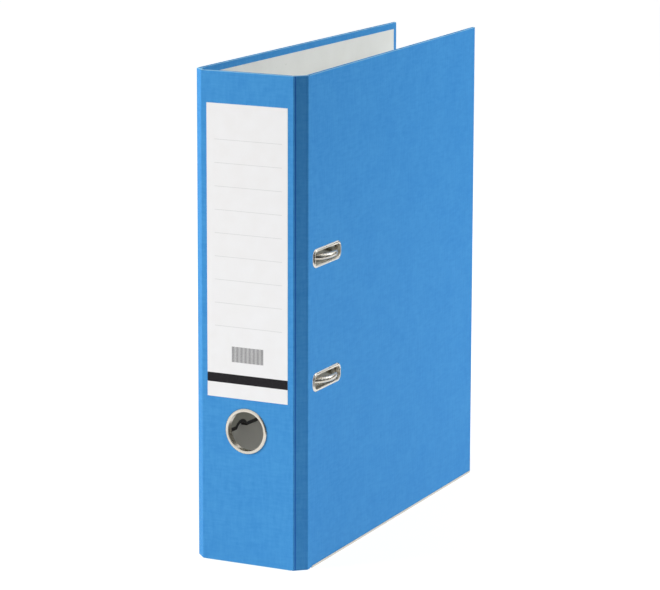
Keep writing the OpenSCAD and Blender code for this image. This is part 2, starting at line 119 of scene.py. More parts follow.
def makeCamera(values):
    azimuth = math.radians(values["azimuth"])
    elevation = math.radians(values["elevation"])
    flat = Vector((math.sin(azimuth), -math.cos(azimuth), 0))
    back = flat * math.cos(elevation) + up * math.sin(elevation)
    right = Vector((math.cos(azimuth), math.sin(azimuth), 0))
    lift = back.cross(right)
    aim = Vector(values["target"]) + right * values["aside"] + lift * values["above"]
    roll = Matrix.Rotation(math.radians(values["roll"]), 4, "Z")
    turn = Matrix((right, lift, back)).transposed().to_4x4() @ roll
    data = bpy.data.cameras.new("photoCamera")
    data.sensor_fit = "AUTO"
    data.sensor_width = values["sensorWidth"]
    data.lens = values["lens"]
    data.shift_x = values["shiftX"]
    data.shift_y = values["shiftY"]
    data.clip_end = values["seesTo"]
    obj = bpy.data.objects.new("photoCamera", data)
    obj.matrix_world = Matrix.Translation(aim + back * values["distance"]) @ turn
    bpy.context.scene.collection.objects.link(obj)
    bpy.context.scene.camera = obj
    return obj


cameraMatrix = makeCamera(camera).matrix_world.copy()
focal = imageL * camera["lens"] / camera["sensorWidth"]


# Where a point of the object shows in the image
def shownAt(point):
    p = cameraMatrix.inverted() @ Vector(point)
    x = imageW / 2 - camera["shiftX"] * imageL - focal * p.x / p.z
    y = imageH / 2 + camera["shiftY"] * imageL + focal * p.y / p.z
    return x, y


# Where the ray through an image point meets the piece that carries something
def placeOn(tree, imagePoint):
    x, y = imagePoint
    across = x - imageW / 2 + camera["shiftX"] * imageL
    along = imageH / 2 - y + camera["shiftY"] * imageL
    start = cameraMatrix.translation
    direction = (cameraMatrix.to_3x3() @ Vector((across, along, -focal))).normalized()
    hit = tree.ray_cast(start, direction)[0]
    if hit is None:
        hit = tree.find_nearest(start + direction * camera["distance"])[0]
    return hit


def treeOf(obj):
    bm = bmesh.new()
    bm.from_mesh(obj.data)
    tree = BVHTree.FromBMesh(bm)
    bm.free()
    return tree


print("camera placed")


def linear(level):
    return level / 12.92 if level <= 0.04045 else ((level + 0.055) / 1.055) ** 2.4


# A colour as a picture shows it, made linear
def shade(r, g, b):
    return tuple(linear(c / 255) for c in (r, g, b)) + (1.0,)


# A new material with its shader and the place on the object that its patterns read
def newFinish(name, **sockets):
    material = bpy.data.materials.new(name)
    material.use_nodes = True
    tree = material.node_tree
    shader = tree.nodes["Principled BSDF"]
    for socket, value in sockets.items():
        shader.inputs[socket.replace("_", " ")].default_value = value
    place = tree.nodes.new("ShaderNodeTexCoord").outputs["Object"]
    return material, tree, shader, place


# A noise pattern; a small number in its stretch draws it out long that way
def addNoise(tree, place, scale, detail, stretch=(1, 1, 1), roughness=0.5):
    mapping = tree.nodes.new("ShaderNodeMapping")
    mapping.inputs["Scale"].default_value = stretch
    noise = tree.nodes.new("ShaderNodeTexNoise")
    noise.inputs["Scale"].default_value = scale
    noise.inputs["Detail"].default_value = detail
    noise.inputs["Roughness"].default_value = roughness
    tree.links.new(place, mapping.inputs["Vector"])
    tree.links.new(mapping.outputs["Vector"], noise.inputs["Vector"])
    return noise.outputs["Fac"]


# What lies from low to high, made to run from toLow to toHigh
def addRange(tree, value, low, high, toLow, toHigh):
    node = tree.nodes.new("ShaderNodeMapRange")
    node.inputs["From Min"].default_value = low
    node.inputs["From Max"].default_value = high
    node.inputs["To Min"].default_value = toLow
    node.inputs["To Max"].default_value = toHigh
    tree.links.new(value, node.inputs["Value"])
    return node.outputs["Result"]


def addMath(tree, operation, first, second):
    node = tree.nodes.new("ShaderNodeMath")
    node.operation = operation
    tree.links.new(first, node.inputs[0])
    tree.links.new(second, node.inputs[1])
    return node.outputs[0]


# Two colours mixed, each a plain one or another node's
def addMix(tree, amount, first, second):
    node = tree.nodes.new("ShaderNodeMix")
    node.data_type = "RGBA"
    tree.links.new(amount, node.inputs["Factor"])
    for key, value in (("A", first), ("B", second)):
        socket = [s for s in node.inputs if s.name == key and s.type == "RGBA"][0]
        if isinstance(value, tuple):
            socket.default_value = value
        else:
            tree.links.new(value, socket)
    return [s for s in node.outputs if s.type == "RGBA"][0]


# Bumps one over another, each with its strength and depth
def addBump(tree, shader, heights):
    last = None
    for height, (strength, distance) in heights:
        node = tree.nodes.new("ShaderNodeBump")
        node.inputs["Strength"].default_value = strength
        node.inputs["Distance"].default_value = distance
        tree.links.new(height, node.inputs["Height"])
        if last is not None:
            tree.links.new(last, node.inputs["Normal"])
        last = node.outputs["Normal"]
    tree.links.new(last, shader.inputs["Normal"])


# In each finish's values, a pattern gives its scale, its detail and, if it has them, its stretch
# and roughness. A range gives what it reads, from and to, and then what it makes of that. A bump
# gives its strength and depth.
covering = {
    "blue": shade(68, 144, 209),
    "deepBlue": shade(56, 131, 201),
    "paleBlue": shade(82, 159, 218),
    # painted highlight along the folds, a paler blue standing in for the light the folded edges catch
    "worn": shade(150, 206, 236),
    # painted shade in the creases' grooves, a deeper blue
    "paintedCreaseShade": shade(38, 92, 190),
    "gloss": 0.03,
    "clouds": (34, 4),
    "grain": (1500, 2),
    "fibres": (520, 3, (1, 1, 0.2), 0.65),
    "crossFibres": (520, 3, (0.2, 0.2, 1), 0.65),
    "cloudRange": (0.3, 0.7, 0.0, 0.3),
    "paleRange": (0.5, 0.75, 0.0, 0.36),
    "deepRange": (0.5, 0.25, 0.0, 0.36),
    "roughRange": (0.3, 0.7, 0.5, 0.62),
    "grainBump": (0.12, 0.08 * mm),
    "fibreBump": (0.1, 0.06 * mm),
}


# Blue paper with a thin gloss: a fine grain, faint clouds, and pale and deep fibres up and across
def makeCovering(values):
    material, tree, shader, place = newFinish("blueCovering", Specular_IOR_Level=values["gloss"])
    clouds = addNoise(tree, place, *values["clouds"])
    grain = addNoise(tree, place, *values["grain"])
    fibres = addNoise(tree, place, *values["fibres"])
    crossFibres = addNoise(tree, place, *values["crossFibres"])
    tint = addMix(tree, addRange(tree, clouds, *values["cloudRange"]), values["blue"], values["paleBlue"])
    for thread in (fibres, crossFibres):
        tint = addMix(tree, addRange(tree, thread, *values["paleRange"]), tint, values["paleBlue"])
        tint = addMix(tree, addRange(tree, thread, *values["deepRange"]), tint, values["deepBlue"])
    # painted light at the folds: a painted highlight, paler, where the attribute is above nought, and
    # painted shade, deeper, below it
    fold = tree.nodes.new("ShaderNodeAttribute")
    fold.attribute_name = "foldPaintedLight"
    tone = fold.outputs["Fac"]
    tint = addMix(tree, addRange(tree, tone, 0.0, 1.0, 0.0, 1.0), tint, values["worn"])
    tint = addMix(tree, addRange(tree, tone, 0.0, -1.0, 0.0, 1.0), tint, values["paintedCreaseShade"])
    tree.links.new(tint, shader.inputs["Base Color"])
    tree.links.new(addRange(tree, grain, *values["roughRange"]), shader.inputs["Roughness"])
    fibreBump = values["fibreBump"]
    addBump(tree, shader, ((grain, values["grainBump"]), (fibres, fibreBump), (crossFibres, fibreBump)))
    return material


lining = {
    "grey": shade(233, 232, 227),
    "warmGrey": shade(227, 226, 220),
    "fleck": shade(210, 211, 204),
    "roughness": 0.72,
    "clouds": (60, 3),
    "fibres": (900, 4, (1, 0.3, 1), 0.7),
    "cloudRange": (0.35, 0.65, 0.0, 0.5),
    "fleckRange": (0.64, 0.72, 0.0, 0.6),
    "fibreBump": (0.15, 0.08 * mm),
}


# Pale grey lining paper with short darker flecks
def makeLining(values):
    material, tree, shader, place = newFinish("greyLining", Roughness=values["roughness"])
    clouds = addNoise(tree, place, *values["clouds"])
    fibres = addNoise(tree, place, *values["fibres"])
    tint = addMix(tree, addRange(tree, clouds, *values["cloudRange"]), values["grey"], values["warmGrey"])
    flecks = addRange(tree, fibres, *values["fleckRange"])
    tree.links.new(addMix(tree, flecks, tint, values["fleck"]), shader.inputs["Base Color"])
    addBump(tree, shader, ((fibres, values["fibreBump"]),))
    return material


labelStock = {
    "white": shade(237, 237, 239),
    "cream": shade(234, 233, 234),
    "roughness": 0.5,
    "clouds": (90, 3),
    "fibres": (1800, 3),
    "cloudRange": (0.35, 0.65, 0.0, 0.6),
    "fibreBump": (0.12, 0.05 * mm),
}


# White label paper with a faint uneven tone
def makeLabelStock(values):
    material, tree, shader, place = newFinish("labelPaper", Roughness=values["roughness"])
    clouds = addNoise(tree, place, *values["clouds"])
    fibres = addNoise(tree, place, *values["fibres"])
    tint = addMix(tree, addRange(tree, clouds, *values["cloudRange"]), values["white"], values["cream"])
    tree.links.new(tint, shader.inputs["Base Color"])
    addBump(tree, shader, ((fibres, values["fibreBump"]),))
    return material


ink = {
    "faint": shade(212, 213, 214),
    "dark": shade(22, 20, 24),
    "roughness": 0.6,
    "gloss": 0.2,
    "grain": (2200, 2),
    "grainRange": (0.55, 0.8, 0.0, 0.6),
    "wear": 0.06,  # how much paler the ink is where the paper's grain shows
}


# Printing ink that lets a little of the paper's grain through
def makeInk(name, colour, values):
    finish = {"Roughness": values["roughness"], "Specular_IOR_Level": values["gloss"]}
    material, tree, shader, place = newFinish(name, **finish)
    grain = addNoise(tree, place, *values["grain"])
    worn = tuple(c + (1 - c) * values["wear"] for c in colour[:3]) + (1.0,)
    tint = addMix(tree, addRange(tree, grain, *values["grainRange"]), colour, worn)
    tree.links.new(tint, shader.inputs["Base Color"])
    return material


metalPattern = {
    "blotches": (140, 3),
    "drawn": (2600, 2, (1, 1, 0.04)),
    "contrast": (0.3, 0.7),  # where in the blotches' pattern a bright metal turns dull
    "dull": 0.86,  # a dull blotch's colour, as a share of the metal's own
    "dullMix": 0.5,
    "scratchDepth": 0.05 * mm,
}
metals = {
    "nickel": {"colour": shade(214, 208, 196), "roughness": (0.2, 0.34), "scratch": 0.03},
    # the same nickel painted paler for the slots' eyelets, a lit copy standing in for more light on them
    "litSlotNickel": {"colour": shade(234, 229, 218), "roughness": (0.22, 0.36), "scratch": 0.03},
    "platedSheet": {"colour": shade(184, 184, 176), "roughness": (0.3, 0.46), "scratch": 0.05},
    "springSteel": {"colour": shade(150, 151, 153), "roughness": (0.34, 0.5), "scratch": 0.05},
}


# Plated steel: soft blotches in the gloss and fine drawn scratches
def makeMetal(name, values, pattern):
    material, tree, shader, place = newFinish(name, Metallic=1.0)
    blotches = addNoise(tree, place, *pattern["blotches"])
    drawn = addNoise(tree, place, *pattern["drawn"])
    dull = tuple(c * pattern["dull"] for c in values["colour"][:3]) + (1.0,)
    mixed = addRange(tree, blotches, *pattern["contrast"], 0.0, pattern["dullMix"])
    tree.links.new(addMix(tree, mixed, values["colour"], dull), shader.inputs["Base Color"])
    rough = addRange(tree, blotches, *pattern["contrast"], *values["roughness"])
    tree.links.new(rough, shader.inputs["Roughness"])
    addBump(tree, shader, ((drawn, (values["scratch"], pattern["scratchDepth"])),))
    return material


tray = {
    "colour": shade(178, 178, 168),
    "roughness": (0.3, 0.46),
    "scratch": 0.05,
    # near black, painted as the shadow under the tray's ends
    "paintedShadow": shade(20, 18, 18),
    "edge": 2.2 * mm,  # width of the painted shadow along the edge
    "fade": 0.7 * mm,
    "notchRadius": 8 * mm,
    "notchOut": 4.5 * mm,  # a notch's middle, beyond the tray's end
    "notchOff": 1.5 * mm,  # and off the tray's back
}


# Plated sheet with painted shadow along its ends, as under the tray's edges, round their notches too
def makeTray(values):
    material = makeMetal("platedTray", values, metalPattern)
    tree = material.node_tree
    shader = [n for n in tree.nodes if n.type == "BSDF_PRINCIPLED"][0]
    place = [n for n in tree.nodes if n.type == "TEX_COORD"][0].outputs["Object"]
    low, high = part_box("base_plate")
    reach = values["edge"] + values["fade"]
    parts = tree.nodes.new("ShaderNodeSeparateXYZ")
    tree.links.new(place, parts.inputs[0])
    bottom = addRange(tree, parts.outputs["Z"], low[2] + values["edge"], low[2] + reach, 1, 0)
    top = addRange(tree, parts.outputs["Z"], high[2] - reach, high[2] - values["edge"], 0, 1)
    paintedShadow = addMath(tree, "MAXIMUM", bottom, top)
    for end in (low[2] - values["notchOut"], high[2] + values["notchOut"]):
        away = tree.nodes.new("ShaderNodeVectorMath")
        away.operation = "DISTANCE"
        away.inputs[1].default_value = (low[0] + values["notchOff"], (low[1] + high[1]) / 2, end)
        tree.links.new(place, away.inputs[0])
        radius = values["notchRadius"]
        ringed = addRange(tree, away.outputs["Value"], radius + values["edge"], radius + reach, 1, 0)
        paintedShadow = addMath(tree, "MAXIMUM", paintedShadow, ringed)
    plain = shader.inputs["Base Color"].links[0].from_socket
    tree.links.new(addMix(tree, paintedShadow, plain, values["paintedShadow"]), shader.inputs["Base Color"])
    return material


board = {
    "grey": shade(150, 144, 134),
    "dark": shade(122, 117, 109),
    "roughness": 0.85,
    "fibres": (1400, 4, (1, 1, 0.3)),
    "fibreBump": (0.4, 0.1 * mm),
}


# Grey board, seen only on cut edges
def makeBoard(values):
    material, tree, shader, place = newFinish("greyBoard", Roughness=values["roughness"])
    fibres = addNoise(tree, place, *values["fibres"])
    tree.links.new(addMix(tree, fibres, values["grey"], values["dark"]), shader.inputs["Base Color"])
    addBump(tree, shader, ((fibres, values["fibreBump"]),))
    return material


blueCovering = makeCovering(covering)
greyLining = makeLining(lining)
labelPaper = makeLabelStock(labelStock)
faintInk = makeInk("faintInk", ink["faint"], ink)
darkInk = makeInk("darkInk", ink["dark"], ink)
nickel, litSlotNickel, platedSheet, springSteel = [
    makeMetal(name, values, metalPattern) for name, values in metals.items()
]
platedTray = makeTray(tray)
greyBoard = makeBoard(board)

cadFinishes = {
    "spine_board": greyBoard, "front_board": greyBoard, "back_board": greyBoard,
    "spine_wrap": blueCovering, "front_wrap": blueCovering, "back_wrap": blueCovering,
    "front_hinge_strip": blueCovering, "back_hinge_strip": blueCovering,
    "spine_lining": greyLining, "front_lining": greyLining, "back_lining": greyLining,
    "spine_label": labelPaper,
    "finger_ring": nickel, "finger_ring_washer": nickel,
    "front_edge_rail": nickel, "back_edge_rail": nickel,
    "upper_slot_eyelet": litSlotNickel, "lower_slot_eyelet": litSlotNickel,
    "base_plate": platedTray, "cover_rivets": nickel,
    "upper_post": nickel, "lower_post": nickel,
    "opening_spring": springSteel, "double_arch": nickel,
    "lever": nickel, "lever_axle": platedSheet,
    "roller": platedSheet, "roller_pin": platedSheet,
    "compressor_bar": nickel, "compressor_catch": springSteel, "catch_pin": platedSheet,
}
for name, obj in nodes.items():
    for materialSlot in obj.material_slots:
        materialSlot.material = cadFinishes[name]
print("finishes made")


sharpAngle = math.radians(32)  # edges that turn more than this stay sharp
flatAngle = math.radians(2)  # sides that turn less than this become one
quarterTurn = math.radians(90)
sameSpot = 0.01 * mm  # points nearer than this are one


# A mesh from a bmesh, smooth but for its sharp edges, riding on a body
def finishPiece(name, bm, material, body=None):
    bmesh.ops.recalc_face_normals(bm, faces=bm.faces)
    mesh = bpy.data.meshes.new(name)
    bm.to_mesh(mesh)
    bm.free()
    mesh.shade_smooth()
    mesh.set_sharp_from_angle(angle=sharpAngle)
    mesh.materials.append(material)
    obj = bpy.data.objects.new(name, mesh)
    bpy.context.scene.collection.objects.link(obj)
    even = obj.modifiers.new("evenFaces", "WEIGHTED_NORMAL")
    even.weight = 100
    even.keep_sharp = True
    if body:
        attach(obj, body)
    return obj


# A merged copy of a CAD node, filled out to its hull with flat sides in one face each
def hullOf(node):
    bm = bmesh.new()
    bm.from_mesh(nodes[node].data)
    bmesh.ops.remove_doubles(bm, verts=bm.verts, dist=sameSpot)
    made = bmesh.ops.convex_hull(bm, input=bm.verts)
    spare = set(made["geom_interior"]) | set(made["geom_unused"])
    inner = [g for g in spare if isinstance(g, bmesh.types.BMVert)]
    bmesh.ops.delete(bm, geom=inner, context="VERTS")
    hull = {g for g in made["geom"] if g.is_valid}
    old = [f for f in bm.faces if f not in hull]
    bmesh.ops.delete(bm, geom=old, context="FACES")
    bmesh.ops.dissolve_limit(bm, angle_limit=flatAngle, verts=bm.verts, edges=bm.edges)
    return bm


# Takes a cutter's shape out of a piece
def cutWith(obj, cutter):
    even = obj.modifiers["evenFaces"]
    even.show_viewport = False
    step = obj.modifiers.new("cut", "BOOLEAN")
    step.operation = "DIFFERENCE"
    step.solver = "EXACT"
    step.object = cutter
    bpy.context.view_layer.update()
    made = bpy.data.meshes.new_from_object(obj.evaluated_get(bpy.context.evaluated_depsgraph_get()))
    obj.modifiers.remove(step)
    old = obj.data
    obj.data = made
    bpy.data.meshes.remove(old)
    bpy.data.objects.remove(cutter)
    obj.data.set_sharp_from_angle(angle=sharpAngle)
    even.show_viewport = True


# A crease's axis, in plan
def axisOf(name):
    return Vector(joints[name]["pos_m"]).to_2d()


spineFront = axisOf("spine_front_crease")
frontCrease = axisOf("front_cover_crease")
spineBack = axisOf("spine_back_crease")
backCrease = axisOf("back_cover_crease")

panels = {
    "edgeRound": 0.45 * mm,  # radius of the covering round a board's edges
    "steps": 4,
    # how strong the painted highlight along each fold is
    "wear": 0.9,
    "creaseReach": 2.4 * mm,  # an edge this near a crease's axis stays square
}


# Rounds edges of the covering and paints a highlight, a paler blue, along each fold between its two long
# sides
def roundFold(bm, edges, values):
    tone = bm.verts.layers.float.new("foldPaintedLight")
    made = bmesh.ops.bevel(
        bm, geom=edges, offset=values["edgeRound"], segments=values["steps"],
        profile=0.5, affect="EDGES", material=-1, clamp_overlap=True,
    )
    folded = set(made["faces"])
    sides = [
        e for e in bm.edges
        if e.calc_length() > values["edgeRound"] and sum(f in folded for f in e.link_faces) == 1
    ]
    beside = {v for e in sides for v in e.verts}
    for vert in {v for f in folded for v in f.verts}:
        if vert not in beside:
            vert[tone] = values["wear"]


# A covered board: the board's full thickness, rounded at all edges but those along its creases
def makePanel(name, node, boardNode, body, creases, values):
    bm = hullOf(node)

    def isEnd(edge, crease):
        return all((v.co.to_2d() - crease).length < values["creaseReach"] for v in edge.verts)

    rounded = [e for e in bm.edges if not any(isEnd(e, crease) for crease in creases)]
    roundFold(bm, rounded, values)
    obj = finishPiece(name, bm, blueCovering, body)
    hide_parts(node, boardNode)
    return obj


spineCreases = (spineFront, spineBack)
spinePanel = makePanel("spinePanel", "spine_wrap", "spine_board", "spine", spineCreases, panels)
frontPanel = makePanel("frontPanel", "front_wrap", "front_board", "front_cover", (frontCrease,), panels)
makePanel("backPanel", "back_wrap", "back_board", "back_cover", (backCrease,), panels)

frontTurn = math.radians(3.4)  # how far the front cover leans in towards the back cover
# each hole's edge lies under its metal's flange: how far in from the flange's outline, how
# round its corners are, and which way the flange faces
holes = {
    "finger_ring": {"inward": 1.3 * mm, "rounding": 30 * mm, "turn": 0},
    "upper_slot_eyelet": {"inward": 1.2 * mm, "rounding": 4.6 * mm, "turn": frontTurn},
    "lower_slot_eyelet": {"inward": 1.2 * mm, "rounding": 4.6 * mm, "turn": frontTurn},
}
# how much longer a cutter is than the metal's depth, the steps of its rounded corners, and the
# most that a corner takes of its height
cutterShape = {"past": 20 * mm, "steps": 16, "most": 0.499}


# A cutter drawn in from a flange's outline, rounded like it and longer than the panel is thick
def holeCutter(node, values):
    turn = values["turn"]
    bm = bmesh.new()
    bm.from_mesh(nodes[node].data)
    bmesh.ops.rotate(bm, verts=bm.verts, cent=(0, 0, 0), matrix=Matrix.Rotation(-turn, 3, "Z"))
    low = Vector([min(v.co[k] for v in bm.verts) for k in range(3)])
    high = Vector([max(v.co[k] for v in bm.verts) for k in range(3)])
    bm.free()
    thin = 0 if high.x - low.x < high.y - low.y else 1
    size = high - low - 2 * values["inward"] * Vector((1, 1, 1))
    size[thin] = (high - low)[thin] + cutterShape["past"]
    bm = bmesh.new()
    bmesh.ops.create_cube(bm, size=1)
    bmesh.ops.scale(bm, vec=size, verts=bm.verts)
    along = [e for e in bm.edges if abs((e.verts[0].co - e.verts[1].co)[thin]) > size[thin] / 2]
    rounding = min(values["rounding"], cutterShape["most"] * size.z)
    bmesh.ops.bevel(
        bm, geom=along, offset=rounding, segments=cutterShape["steps"],
        profile=0.5, affect="EDGES", material=-1, clamp_overlap=False,
    )
    bmesh.ops.translate(bm, vec=(low + high) / 2, verts=bm.verts)
    bmesh.ops.rotate(bm, verts=bm.verts, cent=(0, 0, 0), matrix=Matrix.Rotation(turn, 3, "Z"))
    return finishPiece("cutter", bm, greyBoard)


for node, values in holes.items():
    cutWith(spinePanel if node == "finger_ring" else frontPanel, holeCutter(node, values))
print("panels made")

creaseSkin = {
    "thickness": 0.24 * mm,
    "reach": 1.45 * mm,  # from a crease's axis to the panel's square end
    "overlap": 1.6 * mm,  # how far the skin lies on the panel
    "half": 1.3 * mm,  # half of a panel's thickness
    "proud": 0.01 * mm,
    "dive": 0.03 * mm,  # how far a skin's far end goes in under the panel's own covering
    "inset": 0.35 * mm,  # ends of the skin below the panels' rounded edges
    "grooveNear": 0.25 * mm,  # the pressed line's edges, measured from the crease's axis
    "grooveFar": 1.35 * mm,
    "grooveRound": 0.2 * mm,
    "cornerRound": 0.22 * mm,
    "cornerSteps": 3,
    "liningInset": 4.6 * mm,
    "liningRound": 0.5 * mm,
    "liningSteps": 5,
    "shadeFade": 0.9,  # how much of the deeper blue is gone at the line's edges
}
# how deep each crease's line is pressed, and how strongly painted shade deepens its blue
creaseLines = {
    "spineFrontCrease": (0.26 * mm, -1.0),
    "frontCoverCrease": (0.08 * mm, -0.15),
    "spineBackCrease": (0.1 * mm, -0.1),
    "backCoverCrease": (0.1 * mm, -0.1),
}
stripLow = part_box("front_hinge_strip")[0].z
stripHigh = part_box("front_hinge_strip")[1].z


# A sheet drawn as an upright edge along corners in plan, its bends rounded, then given thickness
def makeSkin(name, corners, bends, low, high, thickness, facing, material):
    bm = bmesh.new()
    first = corners[0]
    ends = [bm.verts.new((first.x, first.y, low)), bm.verts.new((first.x, first.y, high))]
    edge = bm.edges.new(ends)
    for corner in corners[1:]:
        made = bmesh.ops.extrude_edge_only(bm, edges=[edge])["geom"]
        moved = [g for g in made if isinstance(g, bmesh.types.BMVert)]
        for vert in moved:
            vert.co.x = corner.x
            vert.co.y = corner.y
        sides = [g for g in made if isinstance(g, bmesh.types.BMEdge)]
        edge = [e for e in sides if all(v in moved for v in e.verts)][0]
    for corner, offset, steps in bends:
        bent = [e for e in bm.edges if all((v.co.to_2d() - corner).length < sameSpot for v in e.verts)]
        bmesh.ops.bevel(
            bm, geom=bent, offset=offset, segments=steps, profile=0.5, affect="EDGES", material=-1,
        )
    faces = list(bm.faces)
    bmesh.ops.recalc_face_normals(bm, faces=faces)
    if sum(f.normal.to_2d().dot(facing) * f.calc_area() for f in faces) < 0:
        bmesh.ops.reverse_faces(bm, faces=faces)
    for face in faces:
        face.normal_update()
    bmesh.ops.solidify(bm, geom=faces, thickness=thickness)
    return finishPiece(name, bm, material)


# Paints shade into a covering's blue along an upright line, fading out to its sides
def paintShadeLine(obj, line, reach, tone, fade):
    tones = obj.data.attributes.new("foldPaintedLight", "FLOAT", "POINT")
    for k, vert in enumerate(obj.data.vertices):
        away = (vert.co.to_2d() - line).length / reach
        tones.data[k].value = tone * max(0.0, 1 - away * fade)


# The skins of one crease between two boards: the blue one round its outside, the grey one inside it.
# The pressed line lies on the strip's side of the crease, and each skin ends on the strip's middle.
def makeCrease(name, axis, intoPanel, intoStrip, values):
    middle = (intoPanel + intoStrip).normalized()
    half = values["half"]
    reach = values["reach"]
    bend = math.pi - math.acos(intoPanel.dot(intoStrip))
    outward = -middle
    outPanel = (outward - intoPanel * outward.dot(intoPanel)).normalized()
    outStrip = (outward - intoStrip * outward.dot(intoStrip)).normalized()
    raised = half + values["proud"]
    depth, tone = creaseLines[name]
    stripHalf = (frontCrease - spineFront).length / 2
    apex = axis + outward * (raised / math.cos(bend / 2))
    near = values["grooveNear"]
    far = values["grooveFar"]
    line = axis + intoStrip * ((near + far) / 2) + outStrip * (raised - depth)
    onPanel = axis + intoPanel * (reach + values["overlap"])
    onStrip = axis + intoStrip * stripHalf
    skinCorners = [
        onPanel + outPanel * (half - values["dive"]), axis + intoPanel * reach + outPanel * raised, apex,
        axis + intoStrip * near + outStrip * raised, line,
        axis + intoStrip * far + outStrip * raised, onStrip + outStrip * raised,
    ]
    steps = values["cornerSteps"]
    bends = [(apex, values["cornerRound"], steps), (line, values["grooveRound"], steps)]
    low = stripLow + values["inset"]
    high = stripHigh - values["inset"]
    outer = makeSkin(
        name + "Skin", skinCorners, bends, low, high, values["thickness"], outward, blueCovering)
    # painted shade, a deeper blue, along the groove's line
    paintShadeLine(outer, line, (far - near) / 2, tone, values["shadeFade"])
    # the grey skin runs across the hollow side
    hollow = axis + middle * (half / math.cos(bend / 2))
    innerCorners = [onPanel - outPanel * raised, hollow, onStrip - outStrip * raised]
    innerBends = [(hollow, values["liningRound"], values["liningSteps"])]
    low = stripLow + values["liningInset"]
    high = stripHigh - values["liningInset"]
    inner = makeSkin(
        name + "Lining", innerCorners, innerBends, low, high, values["thickness"], middle, greyLining)
    for skin in (outer, inner):
        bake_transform(skin)


alongFront = (frontCrease - spineFront).normalized()
alongBack = (backCrease - spineBack).normalized()
across = Vector((1, 0))
inward = Vector((0, 1))
frontInward = Vector((-math.sin(frontTurn), math.cos(frontTurn)))
for name, axis, intoPanel, intoStrip, panel, strip in (
    ("spineFrontCrease", spineFront, -across, alongFront, "spine", "front_strip"),
    ("frontCoverCrease", frontCrease, frontInward, -alongFront, "front_cover", "front_strip"),
    ("spineBackCrease", spineBack, across, alongBack, "spine", "back_strip"),
    ("backCoverCrease", backCrease, inward, -alongBack, "back_cover", "back_strip"),
):
    makeCrease(name, axis, intoPanel, intoStrip, creaseSkin)
print("creases made")


# The narrow strip between two creases, made thinner to lie within their skins, its rims rounded
def makeStrip(name, node, body, axis, along, values):
    bm = hullOf(node)
    flat = Vector((-along.y, along.x))
    spare = creaseSkin["thickness"] / creaseSkin["half"]
    for vert in bm.verts:
        out = (vert.co.to_2d() - axis).dot(flat)
        vert.co -= (flat * out * spare).to_3d()
    rim = [e for e in bm.edges if abs(e.verts[0].co.z - e.verts[1].co.z) < sameSpot]
    roundFold(bm, rim, values)
    obj = finishPiece(name, bm, blueCovering, body)
    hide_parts(node)


makeStrip("frontStrip", "front_hinge_strip", "front_strip", spineFront, alongFront, panels)
makeStrip("backStrip", "back_hinge_strip", "back_strip", spineBack, alongBack, panels)
print("strips made")

labelPrint = {
    "rules": 9,
    "ruleWidth": 0.3 * mm,
    "inkHeight": 0.02 * mm,
    "inkDepth": 0.01 * mm,  # how far the ink goes into the paper
    "barHeight": 6.0 * mm,
    "hatchWidth": 23.0 * mm,
    "hatchHeight": 10.0 * mm,
    "hatchBars": 24,
}
labelTree = treeOf(nodes["spine_label"])
labelLow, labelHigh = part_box("spine_label")


# Adds a printed patch to a bmesh, standing a hair out of the label's face
def addPatch(bm, left, right, bottom, top, values):
    made = bmesh.ops.create_grid(bm, x_segments=1, y_segments=1, size=0.5)["verts"]
    bmesh.ops.scale(bm, vec=(right - left, top - bottom, 1), verts=made)
    bmesh.ops.rotate(bm, verts=made, cent=(0, 0, 0), matrix=Matrix.Rotation(quarterTurn, 3, "X"))
    middle = Vector(((left + right) / 2, labelLow.y - values["inkHeight"], (bottom + top) / 2))
    bmesh.ops.translate(bm, vec=middle, verts=made)
    faces = list({f for v in made for f in v.link_faces})
    side = bmesh.ops.extrude_face_region(bm, geom=faces)["geom"]
    back = [g for g in side if isinstance(g, bmesh.types.BMVert)]
    bmesh.ops.translate(bm, vec=(0, values["inkHeight"] + values["inkDepth"], 0), verts=back)


# Faint ruled lines, evenly spaced from the first to the last
def makeRules(values):
    first = placeOn(labelTree, imagePoints["firstRuleLeft"])
    right = placeOn(labelTree, imagePoints["firstRuleRight"])
    last = placeOn(labelTree, imagePoints["lastRuleLeft"])
    half = values["ruleWidth"] / 2
    bm = bmesh.new()
    for k in range(values["rules"]):
        z = first.z + (last.z - first.z) * k / (values["rules"] - 1)
        addPatch(bm, first.x, right.x, z - half, z + half, values)
    obj = finishPiece("labelRules", bm, faintInk, "spine")
    return obj


# A solid bar from edge to edge of the label
def makeBar(values):
    middle = placeOn(labelTree, imagePoints["barMiddle"])
    half = values["barHeight"] / 2
    bm = bmesh.new()
    addPatch(bm, labelLow.x, labelHigh.x, middle.z - half, middle.z + half, values)
    obj = finishPiece("labelBar", bm, darkInk, "spine")
    return obj


# An even hatch, which stands where a printed code would
def makeHatch(values):
    middle = placeOn(labelTree, imagePoints["hatchMiddle"])
    pitch = values["hatchWidth"] / values["hatchBars"]
    half = values["hatchHeight"] / 2
    bm = bmesh.new()
    for k in range(values["hatchBars"]):
        left = middle.x - values["hatchWidth"] / 2 + k * pitch
        addPatch(bm, left, left + pitch / 2, middle.z - half, middle.z + half, values)
    obj = finishPiece("labelHatch", bm, darkInk, "spine")
    return obj


labelRules = makeRules(labelPrint)
labelBar = makeBar(labelPrint)
labelHatch = makeHatch(labelPrint)
print("label printed")

